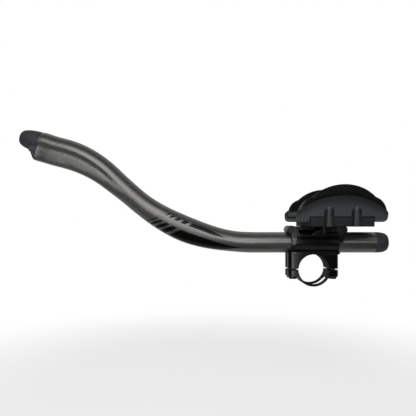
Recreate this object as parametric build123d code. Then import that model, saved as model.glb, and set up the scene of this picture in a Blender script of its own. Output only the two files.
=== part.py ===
from build123d import *

import os
from math import cos, pi, radians, sin, sqrt, tan

# A clip-on handlebar extension: a bent hollow tube in a split clamp, with a padded forearm cup above it.
# Millimetres. +X points back towards the rider, +Y inboard, +Z up.
# The origin is the middle of the handlebar bore.

# Handlebar clamp
bar_diameter = 31.8
clamp_width = 25.0
split_gap = 1.5
bore_web = 1.2
strap_thickness = 2.2
strap_ear_height = 7.3
strap_edge_bevel = 0.5
strap_window_width = 16.0
strap_window_half_angle = 58.0
strap_bolt_diameter = 5.0
strap_bolt_head_diameter = 8.5
strap_bolt_head_height = 5.0
strap_bolt_head_sunk = 2.8
strap_bolt_wall = 2.6
strap_bolt_engagement = 14.0
column_wall = 3.0

# Sleeve that holds the tube, with its pinch slit
tube_fit = 0.05
sleeve_wall = 3.0
sleeve_front = 22.8
sleeve_rear = 29.0
scallop_depth = 2.0
taper_length = 7.0
taper_drop = 1.0
flange_height = 2.6
flange_lip = 0.6
slit_width = 2.4
slit_offset = 3.0
rail_height = 9.3
pinch_bolt_diameter = 4.0
pinch_bolt_head_diameter = 7.0
pinch_bolt_head_height = 4.0
pinch_bolt_cover = 0.2
pinch_bolt_engagement = 9.5
pinch_boss_wall = 2.3
pinch_front = 23.4
pinch_rear = 31.6
ear_ramp_front = -1.4
ear_ramp_length = 10.6
ear_pocket_depth = 4.0
ear_rib_width = 2.2
ear_lip = 0.7
edge_round = 0.8

# Extension tube
tube_diameter = 22.2
tube_wall = 1.8
tube_rear = 67.6
bend_start = 62.3
rear_bend_radius = 197.0
rear_bend_angle = 40.3
middle_run = 37.8
front_bend_radius = 122.0
front_tilt = 15.3
front_run = 28.9
swell_lead = 16.0
swell_rise = 60.0
swell_fall = 62.0
fin_rise = 94.0
swell_depth = 28.1
neck_depth = 23.5
fin_depth = 31.1
fin_waist = 0.16
fin_squareness = 8.0
waist_share = 0.2
section_steps = 8
section_spacing = 13.0

# End plugs
plug_fit = 0.3
plug_shank = 14.0
front_nose_length = 22.3
front_nose_tip = 9.0
front_nose_fullness = 2.3
skirt_length = 7.8
skirt_rise = 8.2
skirt_knee_place = 0.5
skirt_knee_rise = 0.6
skirt_foot_slope = 0.6
skirt_nose_slope = 0.25
rear_nose_length = 14.1
rear_nose_tip = 10.8
rear_nose_fullness = 2.6
nose_steps = 6

# Forearm cup
cup_centre = 23.1
cup_length = 91.4
cup_floor_width = 72.0
cup_wall_slope = 65.0
cup_wall = 3.0
cup_corner = 5.0
cup_rim_height = 26.0
cup_end_height = 10.0
cup_end_corner = 4.0
cup_tip_corner = 6.0
tray_length = 65.0
tray_width = 78.6
tray_depth = 4.7
tray_side_height = 11.0
tray_corner = 2.0
rib_spread = 27.4
rib_foot = 7.8
rib_head = 5.6
rib_height = 19.8
rib_reach = 3.8
rib_round = 2.4
hole_pitch = 10.0
hole_rows = 5
hole_row_centre = 13.0

# Cup bolts and washers
armrest_bolt_diameter = 5.0
armrest_bolt_head_diameter = 9.0
armrest_bolt_head_height = 2.8
armrest_bolt_engagement = 5.4
washer_diameter = 10.0
washer_thickness = 1.0

# Pad and its hook tape
tape_thickness = 1.0
tape_width = 12.0
tape_corner = 2.0
floor_tape_length = 50.0
wall_tape_length = 44.0
pad_thickness = 10.0
pad_floor_thickness = 7.0
pad_corner = 14.0
pad_setback = 1.9
pad_length = 90.2
pad_crown_height = 37.4
pad_crown_length = 64.6
pad_notch_height = 24.95
pad_end_height = 8.0
pad_lobe_radius = 17.6
pad_gap = 0.1
pad_edge_round = 3.0

# Fits shared by all fasteners
bolt_clearance = 0.25
thread_fit = 0.05
head_clearance = 0.15
hole_run_out = 1.0
hex_share = 0.47
socket_share = 0.55
bolt_edge_share = 0.12

# Worked-out places
bar_radius = bar_diameter / 2
tube_radius = tube_diameter / 2
half_width = clamp_width / 2
tube_height = bar_radius + bore_web + tube_radius + tube_fit
sleeve_bore = tube_radius + tube_fit
sleeve_radius = sleeve_bore + sleeve_wall
strap_bolt_x = bar_radius + strap_bolt_wall + strap_bolt_diameter / 2 + bolt_clearance
column_radius = strap_bolt_diameter / 2 + bolt_clearance + column_wall
strap_bolt_y = half_width - column_radius
slit_near = -slit_offset - slit_width / 2
slit_far = -slit_offset + slit_width / 2
pinch_hole = pinch_bolt_diameter / 2 + bolt_clearance
pinch_height = tube_height + sleeve_bore + pinch_hole + pinch_bolt_cover
pinch_boss_radius = pinch_hole + pinch_boss_wall
platform_top = pinch_height + pinch_bolt_head_diameter / 2 + head_clearance
armrest_bolt_y = (slit_far + half_width) / 2
cup_floor = platform_top + tray_depth
wall_run = 1 / tan(radians(cup_wall_slope))
wall_shift = 1 / sin(radians(cup_wall_slope))
fin_start = swell_lead + swell_rise + swell_fall
rear_bend_length = rear_bend_radius * radians(rear_bend_angle)
front_bend_length = front_bend_radius * radians(rear_bend_angle - front_tilt)
bent_length = rear_bend_length + middle_run + front_bend_length + front_run
straight_length = tube_rear + bend_start


def rod_x(radius, x0, x1, y=0.0, z=0.0):
    """Cylinder along X between two places."""
    return Pos((x0 + x1) / 2, y, z) * Rot(0, 90, 0) * Cylinder(radius, x1 - x0)


def rod_y(radius, y0, y1, x=0.0, z=0.0):
    """Cylinder along Y between two places."""
    return Pos(x, (y0 + y1) / 2, z) * Rot(90, 0, 0) * Cylinder(radius, y1 - y0)


def rod_z(radius, z0, z1, x=0.0, y=0.0):
    """Cylinder along Z between two places."""
    return Pos(x, y, (z0 + z1) / 2) * Cylinder(radius, z1 - z0)


def block(x0, x1, y0, y1, z0, z1):
    """Box between two corners."""
    return Pos((x0 + x1) / 2, (y0 + y1) / 2, (z0 + z1) / 2) * Box(x1 - x0, y1 - y0, z1 - z0)


def side_plate(outline, y0, y1):
    """A side-view face, drawn in X and Z, given its thickness from y0 to y1."""
    return Pos(0, y1, 0) * extrude(outline, amount=y1 - y0)


def side_face(*points):
    """Closed side-view outline through points of X and Z."""
    return Plane.XZ * make_face(Polyline(*points, close=True))


def socket_bolt(diameter, length, head_diameter, head_height):
    """Socket-head bolt along +Z: its head is below zero and its shank runs up from zero."""
    head = rod_z(head_diameter / 2, -head_height, 0)
    head = fillet(head.edges().group_by(Axis.Z)[0], head_height * bolt_edge_share)
    hexagon = RegularPolygon(head_diameter * hex_share / sqrt(3), 6)
    socket = Pos(0, 0, -head_height) * extrude(hexagon, amount=head_height * socket_share)
    shank = rod_z(diameter / 2, 0, length)
    shank = chamfer(shank.edges().group_by(Axis.Z)[-1], diameter * bolt_edge_share)
    return head + shank - socket


def smooth(t):
    """Eased step from 0 to 1."""
    t = min(max(t, 0.0), 1.0)
    return t * t * (3 - 2 * t)


def spine(distance):
    """Place and direction of the tube's middle line, measured forward from the start of the rear bend."""
    x, z, tilt = -bend_start, tube_height, 0.0
    if distance <= 0:
        return x - distance, z, tilt
    stages = (
        (rear_bend_length, rear_bend_radius),
        (middle_run, None),
        (front_bend_length, -front_bend_radius),
        (max(distance, bent_length), None),
    )
    for length, radius in stages:
        step = min(distance, length)
        turned = tilt + step / radius if radius else tilt
        if radius:
            x -= radius * (sin(turned) - sin(tilt))
            z += radius * (cos(tilt) - cos(turned))
        else:
            x -= step * cos(tilt)
            z += step * sin(tilt)
        tilt = turned
        distance -= step
        if distance <= 0:
            break
    return x, z, tilt


def section_depth(distance):
    """Depth of the tube's section: round, swollen in the rear bend, slim at the neck, deep at the grip."""
    swell = smooth((distance - swell_lead) / swell_rise)
    neck = smooth((distance - swell_lead - swell_rise) / swell_fall)
    fin = smooth((distance - fin_start) / fin_rise)
    rise = (swell_depth - tube_diameter) * swell
    fall = (neck_depth - swell_depth) * neck
    return tube_diameter + rise + fall + (fin_depth - neck_depth) * fin


def section_plane(distance):
    """Plane across the tube, with its own +Y towards the tube's upper side."""
    x, z, tilt = spine(distance)
    return Plane(origin=(x, 0, z), x_dir=(0, -1, 0), z_dir=(-cos(tilt), 0, sin(tilt)))


def crown_height(distance):
    """Height of the round upper part's centre above the middle line."""
    return section_depth(distance) / 2 - tube_radius


def tube_section(distance, inset):
    """Section of the tube: half round above, and below it a lobe that grows into a waisted, square fin."""
    fin = smooth((distance - fin_start) / fin_rise)
    radius = tube_radius - inset
    lobe = section_depth(distance) - tube_radius - inset
    power = 2 + (fin_squareness - 2) * fin
    centre = crown_height(distance)
    right = []
    for i in range(section_steps):
        share = sin(pi / 2 * i / section_steps)
        waist = 1 - fin_waist * fin * smooth(share / waist_share)
        right.append((radius * waist * (1 - share ** power) ** (1 / power), centre - lobe * share))
    left = [(-y, z) for y, z in reversed(right)]
    crown = ThreePointArc((-radius, centre), (0, centre + radius), (radius, centre))
    down_and_up = ((0, -1), (0, 1))
    foot = Spline(*right, (0, centre - lobe), *left, tangents=down_and_up, tangent_scalars=(1, 1))
    return section_plane(distance) * make_face([crown, foot])


def tube_stretch(start, end, inset):
    """Solid of the tube's outline between two places on its middle line, drawn in by the inset."""
    count = max(2, round((end - start) / section_spacing))
    return loft([tube_section(start + (end - start) * i / count, inset) for i in range(count + 1)])


def extension_tube():
    """Hollow tube: straight and round through the clamp, then bent and shaped up to the grip."""
    shaped = tube_stretch(0, bent_length, 0) - tube_stretch(0, bent_length, tube_wall)
    rear_ring = shaped.faces().sort_by(Axis.X)[-1]
    return shaped + extrude(rear_ring, amount=straight_length, dir=(1, 0, 0))


def nose(plane, length, tip_diameter, fullness):
    """Bullet-shaped rubber cap: starts as wide as the tube and rounds in to a flat tip."""
    tip = tip_diameter / 2
    turns = [pi / 2 * i / nose_steps for i in range(1, nose_steps)]
    power = 2 / fullness
    points = [(length * sin(t) ** power, tip + (tube_radius - tip) * cos(t) ** power) for t in turns]
    side = Spline((0, tube_radius), *points, (length, tip), tangents=((1, 0), (0, -1)))
    rest = Polyline((length, tip), (length, 0), (0, 0), (0, tube_radius))
    turned = revolve(make_face([side, *rest.edges()]), Axis.X)
    return plane * Rot(0, -90, 0) * turned


def front_plug():
    """Plug in the front end: a bullet nose on the round part, a hollow skirt over the fin, and a shank."""
    end = section_plane(bent_length)
    crown = crown_height(bent_length)
    foot = -section_depth(bent_length) / 2
    cap = nose(end * Pos(0, crown, 0), front_nose_length, front_nose_tip, front_nose_fullness)
    cover = extrude(tube_section(bent_length, 0), amount=skirt_length)
    knee = (skirt_length * skirt_knee_place, foot + skirt_rise * skirt_knee_rise)
    tip = (skirt_length, foot + skirt_rise)
    hollow = Spline((0, foot), knee, tip, tangents=((1, skirt_foot_slope), (1, skirt_nose_slope)))
    rest = Polyline(tip, (skirt_length, crown), (0, crown), (0, foot))
    keep = extrude(make_face([hollow, *rest.edges()]), amount=tube_diameter, both=True)
    skirt = cover & (end * Rot(0, -90, 0) * keep)
    shank = tube_stretch(bent_length - plug_shank, bent_length, tube_wall + plug_fit)
    return cap + skirt + shank


def rear_plug():
    """Plug in the rear end: a short bullet cap on a round shank."""
    rear_face = Plane(origin=(tube_rear, 0, tube_height), x_dir=(0, 1, 0), z_dir=(1, 0, 0))
    cap = nose(rear_face, rear_nose_length, rear_nose_tip, rear_nose_fullness)
    return cap + rod_x(tube_radius - tube_wall - plug_fit, tube_rear - plug_shank, tube_rear, z=tube_height)


def strap_bolt_places():
    """The four strap bolts' places in plan."""
    return [(x, y) for x in (-strap_bolt_x, strap_bolt_x) for y in (-strap_bolt_y, strap_bolt_y)]


def bar_saddle():
    """Upper half of the handlebar clamp: a block with a column for each strap bolt, under a thin flange."""
    floor = split_gap / 2
    top = bar_radius + flange_height
    core = block(-strap_bolt_x, strap_bolt_x, -half_width, half_width, floor, top)
    columns = [rod_z(column_radius, floor, top, x, y) for x, y in strap_bolt_places()]
    lip = half_width + flange_lip
    flange = block(-sleeve_front - scallop_depth, sleeve_rear, -lip, lip, bar_radius, top)
    flange = fillet(flange.edges().filter_by(Axis.Z), column_radius)
    return core + columns + flange


def extension_sleeve():
    """Tube sleeve: its front edge is scalloped and its front upper shoulder tapers."""
    front = -sleeve_front - scallop_depth
    sleeve = rod_x(sleeve_radius, front, sleeve_rear, z=tube_height)
    sleeve = fillet(sleeve.edges().group_by(Axis.X)[-1], edge_round)
    scallop_radius = (sleeve_radius ** 2 + scallop_depth ** 2) / (2 * scallop_depth)
    scallop_place = -sleeve_front - scallop_radius
    sleeve -= rod_y(scallop_radius, -sleeve_radius, sleeve_radius, scallop_place, tube_height)
    slope = 2 * taper_drop / taper_length
    reach = sleeve_front + sleeve_rear
    small = sleeve_radius - taper_drop - slope * scallop_depth
    taper = Cone(small, small + slope * reach, reach)
    return sleeve & (Pos(front + reach / 2, 0, tube_height - taper_drop) * Rot(0, 90, 0) * taper)


def boss_round(x):
    """Side view of the round end of an ear, about a pinch bolt."""
    return Plane.XZ * Pos(x, pinch_height) * Circle(pinch_boss_radius)


def near_jaw():
    """Moving jaw beside the slit: a low rail, with a pinch boss in front and a pocketed ear behind."""
    rail_top = tube_height + rail_height
    ear_top = platform_top - head_clearance
    boss_top = pinch_height + pinch_boss_radius
    ramp_end = ear_ramp_front + ear_ramp_length
    rail_front = -sleeve_front + taper_length
    outline = side_face(
        (-pinch_front, tube_height),
        (-pinch_front, boss_top),
        (-pinch_front + pinch_boss_radius, boss_top - edge_round),
        (rail_front + pinch_boss_radius / 2, rail_top),
        (ear_ramp_front, rail_top),
        (ramp_end, ear_top),
        (pinch_rear, ear_top),
        (pinch_rear, tube_height),
    )
    outline += boss_round(-pinch_front)
    outline += boss_round(pinch_rear) & side_face(
        (ramp_end, tube_height),
        (ramp_end, ear_top),
        (pinch_rear + pinch_boss_radius, ear_top),
        (pinch_rear + pinch_boss_radius, tube_height),
    )
    jaw = side_plate(outline, -half_width, slit_near)
    jaw = fillet(jaw.faces().sort_by(Axis.Y)[0].edges(), edge_round)
    pocket_front = ramp_end + 2 * ear_rib_width
    pocket_rear = pinch_rear - pinch_boss_radius
    near, deep = -half_width, -half_width + ear_pocket_depth
    jaw -= block(pocket_front, pocket_rear, near, deep, rail_top + edge_round, ear_top - edge_round)
    groove_front, groove_rear = ramp_end + ear_lip, ramp_end + ear_rib_width
    return jaw - block(groove_front, groove_rear, near, near + ear_rib_width, rail_top, ear_top)


def armrest_platform():
    """Fixed jaw beside the slit: a flat platform for the cup between two pinch bosses."""
    boss_top = pinch_height + pinch_boss_radius
    outline = side_face(
        (-pinch_front, tube_height),
        (-pinch_front, boss_top),
        (-pinch_front + pinch_boss_radius, boss_top - edge_round),
        (-pinch_front + 2 * pinch_boss_radius, platform_top),
        (pinch_rear, platform_top),
        (pinch_rear, tube_height),
    )
    outline += boss_round(-pinch_front)
    outline += boss_round(pinch_rear) & side_face(
        (-pinch_front, tube_height),
        (-pinch_front, platform_top),
        (pinch_rear + pinch_boss_radius, platform_top),
        (pinch_rear + pinch_boss_radius, tube_height),
    )
    platform = side_plate(outline, slit_far, half_width)
    return fillet(platform.faces().sort_by(Axis.Y)[-1].edges(), edge_round)


def pinch_places():
    """The two pinch bolts' places along the sleeve."""
    return (-pinch_front, pinch_rear)


def pinch_seat():
    """Place across the sleeve where a pinch bolt's head seats."""
    return -half_width + pinch_bolt_head_height + head_clearance


def armrest_bolt_places():
    """The two cup bolts' places along the platform."""
    return (hole_row_centre - hole_pitch, hole_row_centre + hole_pitch)


def clamp_body():
    """Forged body: handlebar saddle below, split sleeve above, and the bolt holes."""
    body = bar_saddle() + extension_sleeve() + near_jaw() + armrest_platform()
    reach = sleeve_front + sleeve_rear + pinch_front + pinch_rear
    body -= rod_y(bar_radius, -clamp_width, clamp_width)
    body -= rod_x(sleeve_bore, -reach, reach, z=tube_height)
    body -= block(-reach, reach, slit_near, slit_far, tube_height, platform_top + sleeve_radius)
    top = split_gap / 2 + strap_bolt_engagement + hole_run_out
    for x, y in strap_bolt_places():
        body -= rod_z(strap_bolt_diameter / 2 + thread_fit, 0, top, x, y)
    seat = pinch_seat()
    for x in pinch_places():
        body -= rod_y(pinch_bolt_head_diameter / 2 + head_clearance, -clamp_width, seat, x, pinch_height)
        body -= rod_y(pinch_hole, seat, slit_near, x, pinch_height)
        end = slit_far + pinch_bolt_engagement + hole_run_out
        body -= rod_y(pinch_bolt_diameter / 2 + thread_fit, slit_far, end, x, pinch_height)
    deep = platform_top - armrest_bolt_engagement - hole_run_out / 2
    for x in armrest_bolt_places():
        body -= rod_z(armrest_bolt_diameter / 2 + thread_fit, deep, platform_top, x, armrest_bolt_y)
    return body


def bar_strap():
    """Lower half of the handlebar clamp: a thin band with a window, between thick bolt ears."""
    top = -split_gap / 2
    foot = top - strap_ear_height
    strap_radius = bar_radius + strap_thickness
    band = rod_y(strap_radius, -half_width, half_width)
    band &= block(-strap_radius, strap_radius, -half_width, half_width, -strap_radius, top)
    ear_start = bar_radius - strap_thickness
    for side in (-1, 1):
        x0, x1 = sorted((side * ear_start, side * strap_bolt_x))
        band += block(x0, x1, -half_width, half_width, foot, top)
    for x, y in strap_bolt_places():
        band += rod_z(column_radius, foot, top, x, y)
    band -= rod_y(bar_radius, -clamp_width, clamp_width)
    sides = band.faces().filter_by(Axis.Y).sort_by(Axis.Y)
    band = chamfer(sides[0].edges() + sides[-1].edges(), strap_edge_bevel)
    half_window = strap_radius * sin(radians(strap_window_half_angle))
    window_top = -bar_radius * cos(radians(strap_window_half_angle))
    slot = strap_window_width / 2
    window = block(-half_window, half_window, -slot, slot, -strap_radius - split_gap, window_top)
    band -= fillet(window.edges().filter_by(Axis.Z), slot / 2)
    seat = foot + strap_bolt_head_sunk
    for x, y in strap_bolt_places():
        band -= rod_z(strap_bolt_diameter / 2 + bolt_clearance, seat, 0, x, y)
        band -= rod_z(strap_bolt_head_diameter / 2 + head_clearance, foot - strap_ear_height, seat, x, y)
    return band


def strap_bolts():
    """Four bolts, heads down, that draw the strap up to the body."""
    seat = -split_gap / 2 - strap_ear_height + strap_bolt_head_sunk
    length = split_gap / 2 + strap_bolt_engagement - seat
    bolt = socket_bolt(strap_bolt_diameter, length, strap_bolt_head_diameter, strap_bolt_head_height)
    return Compound([Pos(x, y, seat) * bolt for x, y in strap_bolt_places()])


def pinch_bolts():
    """Two bolts across the slit, heads on the outboard side."""
    seat = pinch_seat()
    length = slit_far + pinch_bolt_engagement - seat
    bolt = socket_bolt(pinch_bolt_diameter, length, pinch_bolt_head_diameter, pinch_bolt_head_height)
    return Compound([Pos(x, seat, pinch_height) * Rot(-90, 0, 0) * bolt for x in pinch_places()])


def trough(inset, floor, top, corner):
    """Flared trough shape along X: a flat floor and two sloping walls, drawn in by the inset."""
    foot = cup_floor_width / 2 - inset * wall_shift + (floor - cup_floor) * wall_run
    head = foot + (top - floor) * wall_run
    section = make_face(Polyline((-head, top), (-foot, floor), (foot, floor), (head, top), close=True))
    section = fillet(section.vertices().group_by(Axis.Y)[0], corner)
    return Pos(cup_centre, 0, 0) * extrude(Plane.YZ * section, amount=cup_length, both=True)


def cup_outline():
    """Side view of the cup's walls: upright ends with rounded feet, under an arched rim."""
    half = cup_length / 2
    ends = Polyline((-half, cup_end_height), (-half, 0), (half, 0), (half, cup_end_height))
    rim = ThreePointArc((-half, cup_end_height), (0, cup_rim_height), (half, cup_end_height))
    face = make_face([*ends.edges(), rim])
    face = fillet(face.vertices().group_by(Axis.Y)[0], cup_end_corner)
    face = fillet(face.vertices().group_by(Axis.Y)[-1], cup_tip_corner)
    return Plane.XZ * Pos(cup_centre, cup_floor) * face


def cup_rib(x, side):
    """Tapered upright rib on the outside of one wall, from the tray's foot up into the flare."""
    outline = side_face(
        (x - rib_foot / 2, platform_top),
        (x + rib_foot / 2, platform_top),
        (x + rib_head / 2, platform_top + rib_height),
        (x - rib_head / 2, platform_top + rib_height),
    )
    inner, outer = sorted((side * cup_floor_width / 2, side * (tray_width / 2 + rib_reach)))
    rib = side_plate(outline, inner, outer)
    face = rib.faces().sort_by(Axis.Y)[0 if side < 0 else -1]
    uprights = face.edges().sort_by(Axis.X)
    return fillet([uprights[0], uprights[-1]], rib_round)


def armrest_cup():
    """Moulded forearm cup: flared trough, sunken tray, two ribs on each wall, rows of bolt holes."""
    high = cup_floor + cup_rim_height + cup_wall
    wide = cup_floor_width + 2 * high * wall_run
    outside = trough(0, cup_floor, high, cup_corner) & side_plate(cup_outline(), -wide, wide)
    half, side = tray_length / 2, tray_width / 2
    x0, x1 = cup_centre - half, cup_centre + half
    tray = block(x0, x1, -side, side, platform_top, platform_top + tray_side_height)
    tray = fillet(tray.edges().filter_by(Axis.Z), tray_corner)
    tray = fillet(tray.edges().group_by(Axis.Z)[0], edge_round)
    outside += tray
    for x in (cup_centre - rib_spread / 2, cup_centre + rib_spread / 2):
        outside += [cup_rib(x, -1), cup_rib(x, 1)]
    cup = outside - trough(cup_wall, cup_floor + cup_wall, high + tray_depth, cup_corner - cup_wall)
    pocket_side = cup_floor_width / 2 - cup_wall
    pocket_floor, pocket_top = platform_top + cup_wall, cup_floor + cup_wall
    pocket = block(x0 + cup_wall, x1 - cup_wall, -pocket_side, pocket_side, pocket_floor, pocket_top)
    cup -= fillet(pocket.edges().filter_by(Axis.Z), tray_corner)
    hole = armrest_bolt_diameter / 2 + bolt_clearance
    for i in range(hole_rows):
        x = hole_row_centre + (i - 1) * hole_pitch
        for y in (-armrest_bolt_y, armrest_bolt_y):
            cup -= rod_z(hole, platform_top, pocket_floor, x, y)
    return cup


def armrest_bolts():
    """Two low-head bolts through the tray into the platform."""
    seat = platform_top + cup_wall + washer_thickness
    length = armrest_bolt_engagement + cup_wall + washer_thickness
    bolt = socket_bolt(armrest_bolt_diameter, length, armrest_bolt_head_diameter, armrest_bolt_head_height)
    return Compound([Pos(x, armrest_bolt_y, seat) * Rot(180, 0, 0) * bolt for x in armrest_bolt_places()])


def armrest_washers():
    """A flat washer under each cup bolt."""
    base = platform_top + cup_wall
    top = base + washer_thickness
    hole = armrest_bolt_diameter / 2 + bolt_clearance
    washer = rod_z(washer_diameter / 2, base, top) - rod_z(hole, base, top)
    return Compound([Pos(x, armrest_bolt_y, 0) * washer for x in armrest_bolt_places()])


def floor_tape(end):
    """Hook tape across the cup's floor, between the tray's pocket and one end."""
    pocket_end = tray_length / 2 - cup_wall
    middle = cup_centre + end * (pocket_end + cup_length / 2) / 2
    base = cup_floor + cup_wall
    strip = extrude(RectangleRounded(tape_width, floor_tape_length, tape_corner), amount=tape_thickness)
    return Pos(middle, 0, base) * strip


def wall_tape(side):
    """Hook tape along the inside of one wall, halfway up to the rim."""
    foot = cup_floor_width / 2 - cup_wall * wall_shift
    rise = cup_rim_height / 2
    slope = Plane(
        origin=(cup_centre, side * (foot + rise * wall_run), cup_floor + rise),
        x_dir=(1, 0, 0),
        z_dir=(0, -side * sin(radians(cup_wall_slope)), cos(radians(cup_wall_slope))),
    )
    strip = extrude(RectangleRounded(wall_tape_length, tape_width, tape_corner), amount=tape_thickness)
    return slope * strip


def pad_outline():
    """Side view of the pad: a high round crown between two lower end lobes."""
    half, crown = pad_length / 2, pad_crown_length / 2
    base = cup_wall
    foot = Polyline((-half, pad_end_height), (-half, base), (half, base), (half, pad_end_height))
    rear_lobe = RadiusArc((half, pad_end_height), (crown, pad_notch_height), -pad_lobe_radius)
    top = ThreePointArc((crown, pad_notch_height), (0, pad_crown_height), (-crown, pad_notch_height))
    front_lobe = RadiusArc((-crown, pad_notch_height), (-half, pad_end_height), -pad_lobe_radius)
    face = make_face([*foot.edges(), rear_lobe, top, front_lobe])
    return Plane.XZ * Pos(cup_centre + pad_setback, cup_floor) * face


def armrest_pad():
    """Foam pad: lines the cup on its tape and stands above the rim."""
    high = cup_floor + pad_crown_height + pad_thickness
    wide = cup_floor_width + 2 * high * wall_run
    lift = cup_wall + tape_thickness + pad_gap
    base = cup_floor + lift
    lining = trough(lift, base, high, cup_corner)
    lining -= trough(lift + pad_thickness, base + pad_floor_thickness, high + pad_thickness, pad_corner)
    pad = lining & side_plate(pad_outline(), -wide, wide)
    return fillet(pad.edges(), pad_edge_round)


pieces = {
    "extension_tube": extension_tube(),
    "front_plug": front_plug(),
    "rear_plug": rear_plug(),
    "clamp_body": clamp_body(),
    "bar_strap": bar_strap(),
    "strap_bolts": strap_bolts(),
    "pinch_bolts": pinch_bolts(),
    "armrest_cup": armrest_cup(),
    "armrest_bolts": armrest_bolts(),
    "armrest_washers": armrest_washers(),
    "tape_front": floor_tape(-1),
    "tape_rear": floor_tape(1),
    "tape_outer": wall_tape(-1),
    "tape_inner": wall_tape(1),
    "armrest_pad": armrest_pad(),
}

os.makedirs("parts", exist_ok=True)
for name, piece in pieces.items():
    export_step(piece, f"parts/{name}.step")
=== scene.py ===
from math import cos, pi, radians, sin, sqrt, tan

import bpy
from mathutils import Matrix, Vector


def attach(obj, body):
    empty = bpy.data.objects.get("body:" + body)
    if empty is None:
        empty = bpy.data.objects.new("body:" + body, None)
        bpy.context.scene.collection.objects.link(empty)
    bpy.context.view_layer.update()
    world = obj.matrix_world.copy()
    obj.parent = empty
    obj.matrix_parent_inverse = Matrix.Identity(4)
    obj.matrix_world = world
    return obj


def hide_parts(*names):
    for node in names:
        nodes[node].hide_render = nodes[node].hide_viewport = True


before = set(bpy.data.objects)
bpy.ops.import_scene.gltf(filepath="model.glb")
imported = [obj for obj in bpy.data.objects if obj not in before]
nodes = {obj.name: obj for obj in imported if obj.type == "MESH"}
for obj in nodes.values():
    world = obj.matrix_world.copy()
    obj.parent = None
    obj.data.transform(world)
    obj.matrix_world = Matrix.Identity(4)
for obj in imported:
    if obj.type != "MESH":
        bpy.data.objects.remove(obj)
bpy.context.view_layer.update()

# Sizes in metres, as in the part's own source.
bend_start = 0.0623
tube_height = 0.02825
rear_bend_radius = 0.197
front_tilt = radians(15.3)
bar_radius = 0.0159
cup_centre = 0.0231
cup_floor = 0.0502
cup_floor_width = 0.072
cup_wall_slope = radians(65)
cup_length = 0.0914
cup_rim_height = 0.026
cup_end_height = 0.010
tray_depth = 0.0047
rib_spread = 0.0274
pad_lift = 0.0041
pad_thickness = 0.010
pad_floor_thickness = 0.007
pad_setback = 0.0019
pad_length = 0.0902
pad_crown_height = 0.0374
pad_crown_length = 0.0646
pad_notch_height = 0.02495
pad_end_height = 0.0080
pad_lobe_radius = 0.0176
wall_run = 1 / tan(cup_wall_slope)
wall_shift = 1 / sin(cup_wall_slope)

# Sizes of the scene's own.
pad_bend_radius = 0.0095
pad_rows, pad_columns = 84, 96
floor_level = -0.165
floor_reach = 3.0
screen_top = 0.75
screen_left, screen_right = -1.4, 1.2
screen_front, screen_back = -1.2, 0.6


class Wire:
    """A shader socket that takes part in sums."""

    def __init__(self, finish, socket):
        self.finish = finish
        self.socket = socket

    def __add__(self, other):
        return self.finish.sum("ADD", self, other)

    def __sub__(self, other):
        return self.finish.sum("SUBTRACT", self, other)

    def __rsub__(self, other):
        return self.finish.sum("SUBTRACT", other, self)

    def __mul__(self, other):
        return self.finish.sum("MULTIPLY", self, other)

    def __pow__(self, other):
        return self.finish.sum("POWER", self, other)

    def __abs__(self):
        return self.finish.sum("ABSOLUTE", self)

    __radd__ = __add__
    __rmul__ = __mul__


class Finish:
    """A node tree, built one node at a time."""

    def __init__(self, tree):
        self.tree = tree
        tree.nodes.clear()

    def node(self, kind, settings=None, sockets=None, out=0):
        """A node with its settings, then its sockets' values or links, and one of its outputs."""
        node = self.tree.nodes.new("ShaderNode" + kind)
        for name, value in (settings or {}).items():
            setattr(node, name, value)
        for name, value in (sockets or {}).items():
            if isinstance(value, Wire):
                self.tree.links.new(value.socket, node.inputs[name])
            else:
                node.inputs[name].default_value = value
        return Wire(self, node.outputs[out]) if node.outputs else None

    def sum(self, operation, *terms):
        return self.node("Math", {"operation": operation}, dict(enumerate(terms)))

    def place(self):
        return self.node("TexCoord", out="Object")

    def parts(self, vector, axes="XYZ"):
        return [self.node("SeparateXYZ", {}, {"Vector": vector}, axis) for axis in axes]

    def noise(self, place, scale, detail):
        return self.node("TexNoise", {}, {"Vector": place, "Scale": scale, "Detail": detail})

    def cells(self, place, scale):
        return self.node("TexVoronoi", {}, {"Vector": place, "Scale": scale}, "Distance")

    def step(self, value, low, high):
        """0 below low, 1 above high, smooth between."""
        settings = {"interpolation_type": "SMOOTHSTEP"}
        sockets = {"Value": value, "From Min": low, "From Max": high}
        return self.node("MapRange", settings, sockets)

    def between(self, value, low, high, soft):
        """1 between low and high, with soft ends inside them."""
        return self.step(value, low, low + soft) * (1 - self.step(value, high - soft, high))

    def wave(self, value, pitch):
        return 0.5 + 0.5 * self.sum("SINE", value * (2 * pi / pitch))

    def slant(self):
        """0 where the surface is seen square on, 1 where it is seen edge on."""
        return self.node("LayerWeight", {}, {"Blend": 0.5}, "Facing") ** 2

    def blend(self, factor, first, second):
        return self.node("Mix", {"data_type": "RGBA"}, {0: factor, 6: first, 7: second}, 2)

    def bump(self, height, distance, strength, normal=None):
        sockets = {"Height": height, "Distance": distance, "Strength": strength}
        if normal:
            sockets["Normal"] = normal
        return self.node("Bump", {}, sockets)

    def surface(self, sockets, share=None, other=None):
        """Output of one shader, or of two where the second takes a varying share."""
        shader = self.node("BsdfPrincipled", {}, sockets)
        if other:
            second = self.node("BsdfPrincipled", {}, other)
            shader = self.node("MixShader", {}, {0: share, 1: shader, 2: second})
        self.node("OutputMaterial", {}, {"Surface": shader})


def grey(level, warmth=0.0):
    """A neutral colour, pushed towards warm or cool."""
    return (level * (1 + warmth), level, level * (1 - warmth), 1.0)


def new_finish(name):
    """A new material and its tree."""
    material = bpy.data.materials.new(name)
    material.use_nodes = True
    return material, Finish(material.node_tree)


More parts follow.
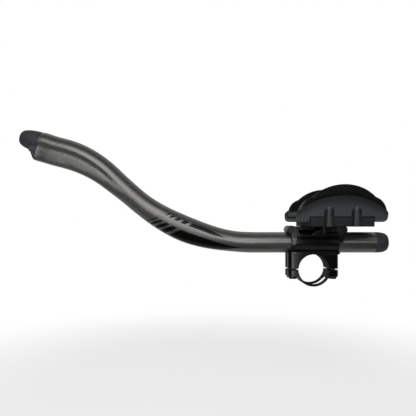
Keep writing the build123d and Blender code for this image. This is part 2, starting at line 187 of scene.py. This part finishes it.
def rounded_edges(finish, radius):
    """Normal that rounds sharp machined edges, and a mask that is 1 along them."""
    edge_start, edge_full = 0.01, 0.16
    soft = finish.node("Bevel", {"samples": 6}, {"Radius": radius})
    true = finish.node("NewGeometry", out="Normal")
    flat = finish.node("VectorMath", {"operation": "DOT_PRODUCT"}, {0: soft, 1: true}, "Value")
    return soft, finish.step(1 - flat, edge_start, edge_full)


def bend_spears(finish, place):
    """Mask of two spears along the rear bend, each cut into slanted bars at its front end.

    Places are measured along the bend from its start, and across it downwards from its middle.
    """
    soft_edge = 0.0003
    low_tip, low_line = 0.006, 0.0060
    low_rise, low_rise_end = 0.0042, 0.060
    low_drop, low_drop_end = 0.0075, 0.055
    high_tip, high_line = 0.026, -0.0029
    high_rise, high_rise_end = 0.0036, 0.062
    high_half_width, high_full_width_at = 0.0021, 0.050
    cut_slant = 0.9
    spears_start, spears_end = -0.004, 0.078
    bars = ((0.0815, 0.0060), (0.0905, 0.0045), (0.0980, 0.0030), (0.1040, 0.0018))

    x, z = finish.parts(place, "XZ")
    back = -1 * x - bend_start
    down = tube_height + rear_bend_radius - z
    along = finish.sum("ARCTAN2", back, down) * rear_bend_radius
    across = (back * back + down * down) ** 0.5 - rear_bend_radius

    low_top = low_line - low_rise * finish.step(along, low_tip, low_rise_end)
    low_bottom = low_line + low_drop * finish.step(along, low_tip, low_drop_end)
    below_top = finish.step(across - low_top, 0, soft_edge)
    lower = below_top * finish.step(low_bottom - across, 0, soft_edge)
    high_middle = high_line - high_rise * finish.step(along, high_tip, high_rise_end)
    high_half = high_half_width * finish.step(along, high_tip, high_full_width_at)
    upper = finish.step(high_half - abs(across - high_middle), 0, soft_edge)

    cut = along - cut_slant * across
    shown = finish.between(cut, spears_start, spears_end, soft_edge)
    for start, length in bars:
        shown = shown + finish.between(cut, start, start + length, soft_edge)
    return (lower + upper) * shown


def gunmetal():
    """Satin gunmetal tube, with black spears above and below the rear bend's light band."""
    material, finish = new_finish("gunmetal")
    place = finish.place()
    black = bend_spears(finish, place)
    flake = finish.noise(place, scale=2600, detail=1)
    cloud = finish.noise(place, scale=45, detail=3)
    metal = finish.blend(flake, grey(0.058, 0.015), grey(0.098, 0.02))
    metal = finish.blend(cloud * 0.25, metal, grey(0.067, 0.03))
    satin = 0.24 + 0.03 * cloud + 0.04 * flake + 0.15 * finish.slant()
    finish.surface({
        "Base Color": finish.blend(black, metal, grey(0.005)),
        "Metallic": 0.8,
        "Roughness": satin - 0.11 * black,
        "Normal": finish.bump(flake, distance=0.00002, strength=0.2),
        "Specular IOR Level": 0.2,
    })
    return material


def plug_rubber():
    """Dark moulded rubber with a fine mottle, and fine rings round the front nose."""
    ring_pitch = 0.0023
    rings_start = 0.25
    material, finish = new_finish("plug_rubber")
    place = finish.place()
    mottle = finish.noise(place, scale=260, detail=4)
    grain = finish.noise(place, scale=2200, detail=2)
    x, z = finish.parts(place, "XZ")
    nose = z * sin(front_tilt) - x * cos(front_tilt)
    ring = finish.wave(nose, ring_pitch) * finish.step(-1 * x, rings_start, rings_start + 0.01)
    colour = finish.blend(mottle, (0.0123, 0.0117, 0.0152, 1), (0.0222, 0.0212, 0.0274, 1))
    colour = finish.blend(ring * 0.4, colour, (0.042, 0.0404, 0.0515, 1))
    relief = finish.bump(ring, distance=0.00018, strength=0.8)
    finish.surface({
        "Base Color": colour,
        "Roughness": 0.44 + 0.12 * mottle + 0.5 * finish.slant(),
        "Normal": finish.bump(grain, distance=0.00006, strength=0.35, normal=relief),
        "Specular IOR Level": 0.22,
    })
    return material


def black_alloy():
    """Bead-blasted black anodised alloy, paler along its edges with wear and a painted edge
    highlight, and dull in the bar's bore.
    """
    material, finish = new_finish("black_alloy")
    place = finish.place()
    edge_normal, edge = rounded_edges(finish, 0.0006)
    grain = finish.noise(place, scale=3200, detail=2)
    cloud = finish.noise(place, scale=90, detail=3)
    colour = finish.blend(cloud, grey(0.0010), grey(0.0026))
    # Paler along the edges: partly wear, partly a painted highlight on the edges.
    wear_and_edge_highlight = edge * (0.35 + 0.65 * finish.step(finish.noise(place, scale=420, detail=3), 0.42, 0.62))
    x, z = finish.parts(place, "XZ")
    from_bar = (x * x + z * z) ** 0.5 - bar_radius
    bore = 1 - finish.step(from_bar, 0.0001, 0.0003)
    finish.surface({
        "Base Color": finish.blend(wear_and_edge_highlight * 0.5, colour, grey(0.06)),
        "Roughness": 0.08 + 0.04 * cloud + 0.5 * finish.slant() + 0.5 * bore,
        "Normal": finish.bump(grain, distance=0.00003, strength=0.06, normal=edge_normal),
        "Specular IOR Level": 0.27,
    })
    return material


def bolt_steel():
    """Black-oxide steel with a fine grain and rubbed edges."""
    material, finish = new_finish("bolt_steel")
    place = finish.place()
    edge_normal, edge = rounded_edges(finish, 0.0004)
    grain = finish.noise(place, scale=2400, detail=2)
    cloud = finish.noise(place, scale=300, detail=2)
    colour = finish.blend(cloud, grey(0.010, 0.02), grey(0.020, 0.02))
    finish.surface({
        "Base Color": finish.blend(edge * 0.5, colour, grey(0.12, 0.02)),
        "Metallic": 0.9,
        "Roughness": 0.34 + 0.12 * cloud,
        "Normal": finish.bump(grain, distance=0.00003, strength=0.3, normal=edge_normal),
    })
    return material


def painted_shade_share(finish, place):
    """Share of painted shade, as dark matt plastic: beside the ribs, along the tray and its crease,
    on the ribs and near the rim.
    """
    rib_half_width, rib_taper = 0.0039, 0.056
    rib_top, rib_fade = 0.061, 0.005
    flank_inner, flank_outer, flank_soft = -0.0006, 0.0022, 0.0008
    tray_end, tray_fade = 0.0322, 0.0008
    crease_low, crease_high, crease_soft = 0.0526, 0.0568, 0.0010
    rim_depth, rim_narrowing = 0.0165, 0.23
    crease_share, tray_share, rib_share, rim_share = 0.85, 0.8, 0.5, 0.7

    # Painted shade: darker beside the ribs, on the ribs, over the tray and in the crease above it,
    # where shade falls.
    x, z = finish.parts(place, "XZ")
    reach = abs(x - cup_centre)
    taper = rib_taper * (z - cup_floor + tray_depth)
    beside_rib = abs(reach - rib_spread / 2) - rib_half_width + taper
    rib_end = 1 - finish.step(z, rib_top, rib_top + rib_fade)
    flank = finish.between(beside_rib, flank_inner, flank_outer, flank_soft) * rib_end
    on_rib = (1 - finish.step(beside_rib, flank_inner, 0.0)) * rib_end
    on_tray = (1 - finish.step(reach, tray_end, tray_end + tray_fade)) * (1 - on_rib)
    crease = finish.between(z, crease_low, crease_high, crease_soft) * on_tray
    low = on_tray * (1 - finish.step(z, crease_low, crease_low + crease_soft))

    # Painted shade that darkens the walls towards the rim.
    rim_rise = cup_rim_height - cup_end_height
    rim_radius = (cup_length ** 2 / 4 + rim_rise ** 2) / (2 * rim_rise)
    height = z - cup_floor - cup_rim_height + rim_radius
    below_rim = rim_radius - (reach * reach + height * height) ** 0.5
    near_rim = 1 - finish.step(below_rim, 0.0, rim_depth - rim_narrowing * reach)

    creases = crease_share * finish.sum("MAXIMUM", flank, crease)
    faces = finish.sum("MAXIMUM", creases, tray_share * low + rib_share * on_rib)
    return finish.sum("MAXIMUM", faces, rim_share * near_rim)


def slate_plastic():
    """Glass-filled moulded plastic, slate grey, with a fine spark-eroded grain and painted shade
    beside the ribs, along the tray, on the ribs and near the rim.
    """
    material, finish = new_finish("slate_plastic")
    place = finish.place()
    edge_normal, edge = rounded_edges(finish, 0.0009)
    grain = finish.cells(place, scale=1500)
    cloud = finish.noise(place, scale=55, detail=3)
    colour = finish.blend(cloud, (0.0252, 0.0280, 0.0315, 1), (0.0378, 0.0419, 0.0475, 1))
    normal = finish.bump(grain, distance=0.00006, strength=0.3, normal=edge_normal)
    satin = {
        "Base Color": finish.blend(edge * 0.25, colour, (0.052, 0.057, 0.063, 1)),
        "Roughness": 0.29 + 0.06 * cloud + 0.6 * finish.slant(),
        "Normal": normal,
        "Specular IOR Level": 0.33,
    }
    # Dark matt plastic mixed in where shade is painted.
    dull = {
        "Base Color": finish.blend(cloud, grey(0.0029), grey(0.0053)),
        "Roughness": 0.8,
        "Normal": normal,
        "Specular IOR Level": 0.02,
    }
    finish.surface(satin, painted_shade_share(finish, place), dull)
    return material


def pad_fabric():
    """Black brushed-loop fabric over foam: a fine knit with a nap, and a painted highlight on its
    forward-facing side.
    """
    course_pitch, wale_pitch = 0.0013, 0.0011
    sway = 0.0004
    material, finish = new_finish("pad_fabric")
    place = finish.place()
    x, y, z = finish.parts(place)
    girth = abs(y) * cos(cup_wall_slope) + z * sin(cup_wall_slope)
    drift = sway * finish.noise(place, scale=320, detail=2)
    knit = finish.wave(x + drift, course_pitch) * finish.wave(girth + drift, wale_pitch)
    nap = finish.noise(place, scale=1900, detail=3)
    cloud = finish.noise(place, scale=70, detail=3)
    colour = finish.blend(knit, grey(0.0020), grey(0.0085))
    colour = finish.blend(cloud * 0.5, colour, grey(0.0046))
    backward = finish.parts(finish.node("NewGeometry", out="Normal"), "X")[0]
    # Painted highlight: paler grey where the surface faces forward, broken up by the nap.
    highlight_breakup = 0.25 + 0.75 * finish.step(nap, 0.40, 0.62)
    painted_front_highlight = finish.step(-1 * backward, 0.50, 0.95) * highlight_breakup
    finish.surface({
        "Base Color": finish.blend(painted_front_highlight, colour, grey(0.14)),
        "Roughness": 0.86 - 0.10 * knit,
        "Normal": finish.bump(knit + 0.6 * nap, distance=0.00028, strength=0.6),
        "Specular IOR Level": 0.08,
        "Sheen Weight": 0.06,
        "Sheen Roughness": 0.45,
        "Sheen Tint": grey(0.35),
    })
    return material


def hook_tape():
    """Black hook tape: fine hooks on a woven ground."""
    material, finish = new_finish("hook_tape")
    place = finish.place()
    hooks = finish.cells(place, scale=950)
    ground = finish.noise(place, scale=420, detail=3)
    finish.surface({
        "Base Color": finish.blend(hooks, grey(0.026), grey(0.008)),
        "Roughness": 0.7 + 0.2 * ground,
        "Normal": finish.bump(hooks, distance=0.0003, strength=0.7),
    })
    return material


def pad_height(x):
    """Height of the pad's side outline above the cup's floor, at a place along it."""
    reach = abs(x)
    crown = pad_crown_length / 2
    rise = pad_crown_height - pad_notch_height
    if reach <= crown:
        radius = (crown ** 2 + rise ** 2) / (2 * rise)
        return pad_crown_height - radius + sqrt(radius ** 2 - reach ** 2)
    chord = Vector((pad_length / 2 - crown, pad_end_height - pad_notch_height))
    lift = sqrt(pad_lobe_radius ** 2 - (chord.length / 2) ** 2)
    side = Vector((chord.y, -chord.x)).normalized() * lift
    centre = Vector((crown, pad_notch_height)) + chord / 2 + side
    return centre.y + sqrt(max(pad_lobe_radius ** 2 - (reach - centre.x) ** 2, 0))


def pad_middle(girth):
    """Place and turn of the middle of the pad's thickness, at a distance round from its centre."""
    inset = pad_lift + pad_thickness / 2
    floor = cup_floor + pad_lift + pad_floor_thickness / 2
    foot = cup_floor_width / 2 - inset * wall_shift + (floor - cup_floor) * wall_run
    flat = foot - pad_bend_radius * tan(cup_wall_slope / 2)
    bend = pad_bend_radius * cup_wall_slope
    if girth <= flat:
        return girth, floor, 0.0
    turn = min((girth - flat) / pad_bend_radius, cup_wall_slope)
    rest = max(girth - flat - bend, 0.0)
    y = flat + pad_bend_radius * sin(turn) + rest * cos(turn)
    z = floor + pad_bend_radius * (1 - cos(turn)) + rest * sin(turn)
    return y, z, turn


def pad_girth(height):
    """Distance round the pad's middle from its centre up to a height above the cup's floor."""
    low, high, halvings = 0.0, 0.2, 40
    for _ in range(halvings):
        guess = (low + high) / 2
        if pad_middle(guess)[1] < cup_floor + height:
            low = guess
        else:
            high = guess
    return low


def pad_sheets():
    """Foam pad: upper and lower points of a thick sheet that thins to a round edge all round."""
    edge_share = 0.55
    rim_share = 0.93
    upper, lower = [], []
    for i in range(pad_rows + 1):
        x = pad_length / 2 * sin(pi / 2 * (2 * i / pad_rows - 1))
        rim = pad_girth(pad_height(x))
        for j in range(pad_columns + 1):
            side = sin(pi / 2 * (2 * j / pad_columns - 1))
            girth = abs(side) * rim
            y, z, turn = pad_middle(girth)
            wall = turn / cup_wall_slope
            full = pad_floor_thickness + (pad_thickness - pad_floor_thickness) * wall
            edge = min(pad_length / 2 - abs(x), (rim - girth) * rim_share)
            share = min(edge / (full * edge_share), 1.0)
            half = full / 2 * sqrt(max(1 - (1 - share) ** 2, 0))
            sign = 1 if side >= 0 else -1
            up = Vector((0, -sin(turn) * sign, cos(turn))) * half
            point = Vector((cup_centre + pad_setback + x, y * sign, z))
            upper.append(point + up)
            lower.append(point - up)
    return upper, lower


def pad_faces(start, turned):
    """Quads of one sheet of the pad, whose points are numbered from start."""
    faces = []
    for i in range(pad_rows):
        for j in range(pad_columns):
            a = start + i * (pad_columns + 1) + j
            quad = (a, a + pad_columns + 1, a + pad_columns + 2, a + 1)
            faces.append(quad[::-1] if turned else quad)
    return faces


def armrest_pad():
    """The pad's own piece, in place of its plain solid."""
    upper, lower = pad_sheets()
    faces = pad_faces(0, False) + pad_faces(len(upper), True)
    mesh = bpy.data.meshes.new("pad_cover")
    mesh.from_pydata(upper + lower, [], faces)
    pad = bpy.data.objects.new("pad_cover", mesh)
    bpy.context.collection.objects.link(pad)
    weld = pad.modifiers.new("weld", "WELD")
    weld.merge_threshold = 0.00002
    for face in mesh.polygons:
        face.use_smooth = True
    return pad


finishes = {
    "gunmetal": gunmetal(),
    "plug_rubber": plug_rubber(),
    "black_alloy": black_alloy(),
    "bolt_steel": bolt_steel(),
    "slate_plastic": slate_plastic(),
    "pad_fabric": pad_fabric(),
    "hook_tape": hook_tape(),
}

node_finish = {
    "extension_tube": "gunmetal",
    "front_plug": "plug_rubber",
    "rear_plug": "plug_rubber",
    "clamp_body": "black_alloy",
    "bar_strap": "black_alloy",
    "strap_bolts": "bolt_steel",
    "pinch_bolts": "bolt_steel",
    "armrest_cup": "slate_plastic",
    "armrest_bolts": "bolt_steel",
    "armrest_washers": "bolt_steel",
    "tape_front": "hook_tape",
    "tape_rear": "hook_tape",
    "tape_outer": "hook_tape",
    "tape_inner": "hook_tape",
    "armrest_pad": "pad_fabric",
}


def dress(piece, finish):
    """Gives a piece one finish all over."""
    piece.data.materials.clear()
    piece.data.materials.append(finishes[finish])


for name, finish in node_finish.items():
    dress(nodes[name], finish)

pad = armrest_pad()
dress(pad, "pad_fabric")
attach(pad, "root")
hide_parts("armrest_pad")


# Studio: a pale floor, a white surround, a broad lamp behind the camera, a narrow one for the rear
# of the tube and a weak one overhead. A grey screen round the front, a grey ceiling and a card on
# the floor are seen by mirrored rays only, and give the tube and the clamp their dark bands.


def add_stage(name, points, faces, material):
    """A stage piece from its points."""
    mesh = bpy.data.meshes.new(name)
    mesh.from_pydata(points, [], faces)
    mesh.materials.append(material)
    piece = bpy.data.objects.new(name, mesh)
    bpy.context.collection.objects.link(piece)
    return piece


def add_level_stage(name, left, right, front, back, height, material):
    """A level rectangle of the stage."""
    plan = ((left, front), (right, front), (right, back), (left, back))
    return add_stage(name, [(x, y, height) for x, y in plan], [(0, 1, 2, 3)], material)


def seen_rays(finish):
    """Masks of the rays that show the surround: all of them, and the mirrored or refracted ones."""
    names = ("Is Camera Ray", "Is Glossy Ray", "Is Transmission Ray")
    direct, mirrored, clear = [finish.node("LightPath", out=name) for name in names]
    every = finish.sum("MINIMUM", direct + mirrored + clear, 1.0)
    return every, finish.sum("MINIMUM", mirrored + clear, 1.0)


def floor_finish():
    """Pale floor that keeps a shadow near the object and runs out to white."""
    middle, near_reach, far_reach = (-0.1, 0.1, floor_level), 0.2, 0.6
    near_white = 0.72
    material, finish = new_finish("studio_floor")
    place = finish.place()
    mottle = finish.noise(place, scale=30, detail=2)
    matt = finish.node("BsdfDiffuse", {}, {"Color": finish.blend(mottle, grey(0.90), grey(0.93))})
    white = finish.node("Emission", {}, {"Color": grey(1.0), "Strength": 1.0})
    distance = finish.node("VectorMath", {"operation": "DISTANCE"}, {0: place, 1: middle}, "Value")
    seen, mirrored = seen_rays(finish)
    whiteness = near_white + (1 - near_white) * finish.step(distance, near_reach, far_reach)
    factor = finish.sum("MAXIMUM", seen * whiteness, mirrored)
    mixed = finish.node("MixShader", {}, {0: factor, 1: matt, 2: white})
    finish.node("OutputMaterial", {}, {"Surface": mixed})
    return material


def cloth_finish(name, dark, light):
    """Dull grey cloth of a screen."""
    material, finish = new_finish(name)
    weave = finish.noise(finish.place(), scale=60, detail=2)
    finish.surface({"Base Color": finish.blend(weave, grey(dark), grey(light)), "Roughness": 0.95})
    return material


def card_finish():
    """Card on the floor in front: grey by the tube, dark by its rear end, pale by cup and grip."""
    pale, tube_grey, rear_grey, weave_grey = grey(0.95), grey(0.36), grey(0.06), grey(0.25)
    window_left, window_right, window_soft = -0.02, 0.15, 0.04
    window_front, window_full = -0.36, -0.30
    grip_end, grip_soft = -0.2, 0.1
    grip_cut, grip_cut_front, grip_cut_full = 0.16, -0.40, -0.32
    rear_start, rear_full = 0.06, 0.12
    material, finish = new_finish("studio_card")
    place = finish.place()
    weave = finish.noise(place, scale=60, detail=2)
    x, y = finish.parts(place, "XY")
    window = finish.between(x, window_left, window_right, window_soft)
    window = window * finish.step(y, window_front, window_full)
    from_grip = x - grip_end + grip_cut * finish.step(y, grip_cut_front, grip_cut_full)
    shade = finish.step(from_grip, 0, grip_soft) * (1 - window)
    dark = finish.blend(finish.step(x, rear_start, rear_full), tube_grey, rear_grey)
    colour = finish.blend(shade, pale, dark)
    finish.surface({"Base Color": finish.blend(weave * 0.2, colour, weave_grey), "Roughness": 0.95})
    return material


def add_screens():
    """Screen, card and ceiling, which only mirrored rays see."""
    card_back, card_level = -0.06, floor_level + 0.002
    ceiling_front, ceiling_back = -0.40, 0.03
    plan = [(screen_left, screen_back), (screen_left, screen_front),
            (screen_right, screen_front), (screen_right, screen_back)]
    corners = [(x, y, z) for x, y in plan for z in (floor_level, screen_top)]
    sides = [(2 * i, 2 * i + 1, 2 * i + 3, 2 * i + 2) for i in range(3)]
    screen = add_stage("studio_screen", corners, sides, cloth_finish("studio_screen", 0.12, 0.17))
    card = add_level_stage("studio_card", -floor_reach, floor_reach, screen_front, card_back,
                           card_level, card_finish())
    ceiling = add_level_stage("studio_ceiling", screen_left, screen_right, ceiling_front,
                              ceiling_back, screen_top, cloth_finish("studio_ceiling", 0.48, 0.56))
    for piece in (screen, card, ceiling):
        piece.visible_camera = False
        piece.visible_shadow = False
        piece.visible_diffuse = False


def add_surround():
    """White surround that lights the object weakly."""
    fill = 0.15
    world = bpy.data.worlds.new("surround")
    bpy.context.scene.world = world
    world.use_nodes = True
    finish = Finish(world.node_tree)
    strength = fill + (1 - fill) * seen_rays(finish)[0]
    white = finish.node("Background", {}, {"Color": grey(1.0), "Strength": strength})
    finish.node("OutputWorld", {}, {"Surface": white})


def add_lamp(name, place, target, size, power):
    """Soft lamp that faces a point."""
    light = bpy.data.lights.new(name, "AREA")
    light.shape = "RECTANGLE"
    light.size, light.size_y = size
    light.energy = power
    lamp = bpy.data.objects.new(name, light)
    lamp.location = place
    aim = Vector(target) - Vector(place)
    lamp.rotation_euler = aim.to_track_quat("-Z", "Y").to_euler()
    bpy.context.collection.objects.link(lamp)


def studio():
    """Floor, screens, surround and lamps."""
    add_level_stage("studio_floor", -floor_reach, floor_reach, -floor_reach, floor_reach,
                    floor_level, floor_finish())
    add_screens()
    add_surround()
    add_lamp("key_lamp", place=(-0.2070, -1.03, 0.43), target=(-0.2070, 0.0, 0.43),
             size=(0.736, 1.15), power=12.3)
    add_lamp("strip_lamp", place=(0.375, -1.03, 0.16), target=(0.375, 0.0, 0.16),
             size=(0.11, 0.26), power=0.42)
    add_lamp("top_lamp", place=(-0.10, 0.10, 1.30), target=(-0.10, 0.0, 0.05),
             size=(1.6, 1.0), power=1.0)


def camera():
    """Level camera on the outboard side, at the photograph's angle."""
    data = bpy.data.cameras.new("camera")
    data.lens = 41.6
    data.sensor_width = 36.0
    data.shift_y = 0.0337
    data.clip_start = 0.01
    eye = bpy.data.objects.new("camera", data)
    eye.location = (-0.1116, -0.520, 0.0502)
    eye.rotation_euler = (pi / 2, 0, 0)
    bpy.context.collection.objects.link(eye)
    bpy.context.scene.camera = eye


studio()
camera()
bpy.context.scene.view_settings.view_transform = "Standard"
